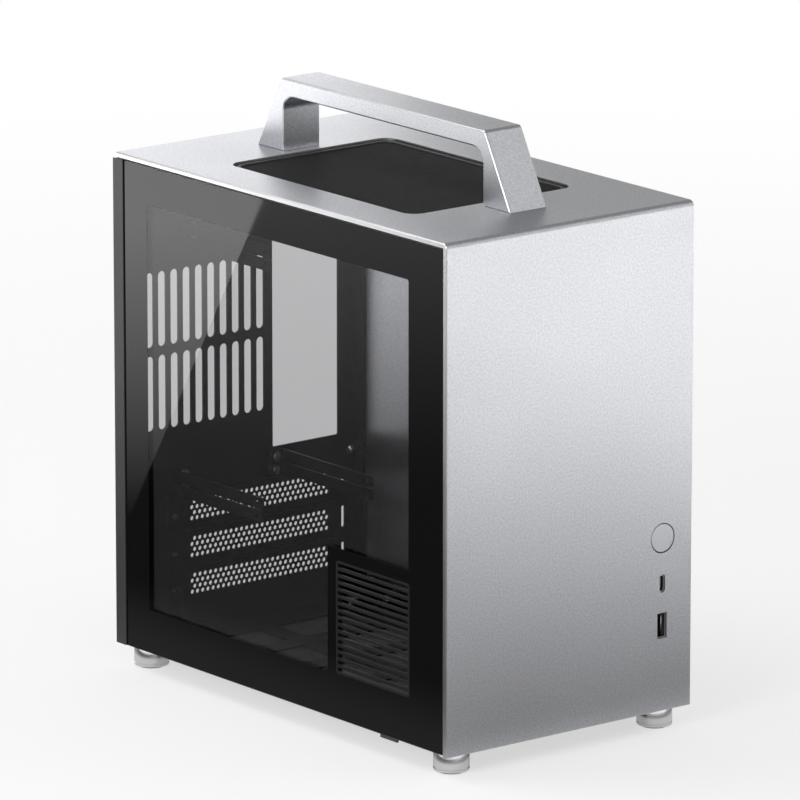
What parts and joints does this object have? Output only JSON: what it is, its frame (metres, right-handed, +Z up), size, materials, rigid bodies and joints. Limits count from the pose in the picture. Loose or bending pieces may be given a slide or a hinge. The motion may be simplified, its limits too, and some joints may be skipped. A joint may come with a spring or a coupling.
{
  "type": "computer case",
  "caption": "Small upright computer case: black steel frame, bent silver cover with a bar handle, dark glass side with a vent grille, mesh-window side, pull-off panels, front sockets.",
  "frame": {"origin": "on the standing surface, under the middle of the case", "axes": "+Z up, -Y out of the front, -X out of the glass side"},
  "size_m": [0.163, 0.28, 0.3193],
  "materials": {
    "frame_steel": "fine textured black powder coat",
    "silver_sheet": "bead-blasted, clear anodised",
    "dark_glass": "polished, tinted, with a black printed border",
    "grille_black": "satin black",
    "pull_steel": "satin dark grey",
    "black_mesh": "fine black mesh",
    "foot_chrome": "turned and polished",
    "foot_rubber": "matte",
    "zinc_steel": "bright",
    "stud_black": "black",
    "catch_plastic": "black moulded",
    "board": "solder-masked",
    "socket_steel": "formed shell",
    "switch_black": "black moulded"
  },
  "bodies": {
    "case": {"top_plate": "frame_steel", "bottom_tray": "frame_steel", "front_frame": "frame_steel", "rear_panel": "frame_steel", "slot_cover_1": "frame_steel", "slot_cover_2": "frame_steel", "slot_cover_3": "frame_steel", "left_drive_rail": "frame_steel", "right_drive_rail": "frame_steel", "upper_rail": "frame_steel", "io_bracket": "frame_steel", "cover": "silver_sheet", "handle": "silver_sheet", "top_filter": "black_mesh", "bottom_filter": "black_mesh", "foot_front_left": "foot_chrome", "foot_front_right": "foot_chrome", "foot_rear_left": "foot_chrome", "foot_rear_right": "foot_chrome", "foot_pads": "foot_rubber", "foot_screws": "zinc_steel", "handle_screws": "zinc_steel", "rail_screws": "zinc_steel", "slot_screws": "zinc_steel", "cover_studs": "zinc_steel", "cover_catches": "catch_plastic", "left_catches": "catch_plastic", "right_catches": "catch_plastic", "io_board": "board", "usb_a_socket": "socket_steel", "usb_c_socket": "socket_steel", "switch_housing": "switch_black"},
    "glass_side": {"glass_pane": "dark_glass", "vent_grille": "grille_black", "pull_strip": "pull_steel", "glass_studs": "stud_black"},
    "mesh_side": {"right_panel": "silver_sheet", "side_mesh": "black_mesh", "right_studs": "zinc_steel"},
    "power_button": {"power_button": "silver_sheet"}
  },
  "joints": [
    {"name": "glass_pull", "type": "slide", "parent": "case", "child": "glass_side", "axis": [-1, 0, 0], "range_m": [0, 0.083]},
    {"name": "mesh_pull", "type": "slide", "parent": "case", "child": "mesh_side", "axis": [1, 0, 0], "range_m": [0, 0.135]},
    {"name": "power_press", "type": "slide", "parent": "case", "child": "power_button", "axis": [0, 1, 0], "range_m": [0, 0.0015], "stiffness_N_per_m": 1200}
  ]
}
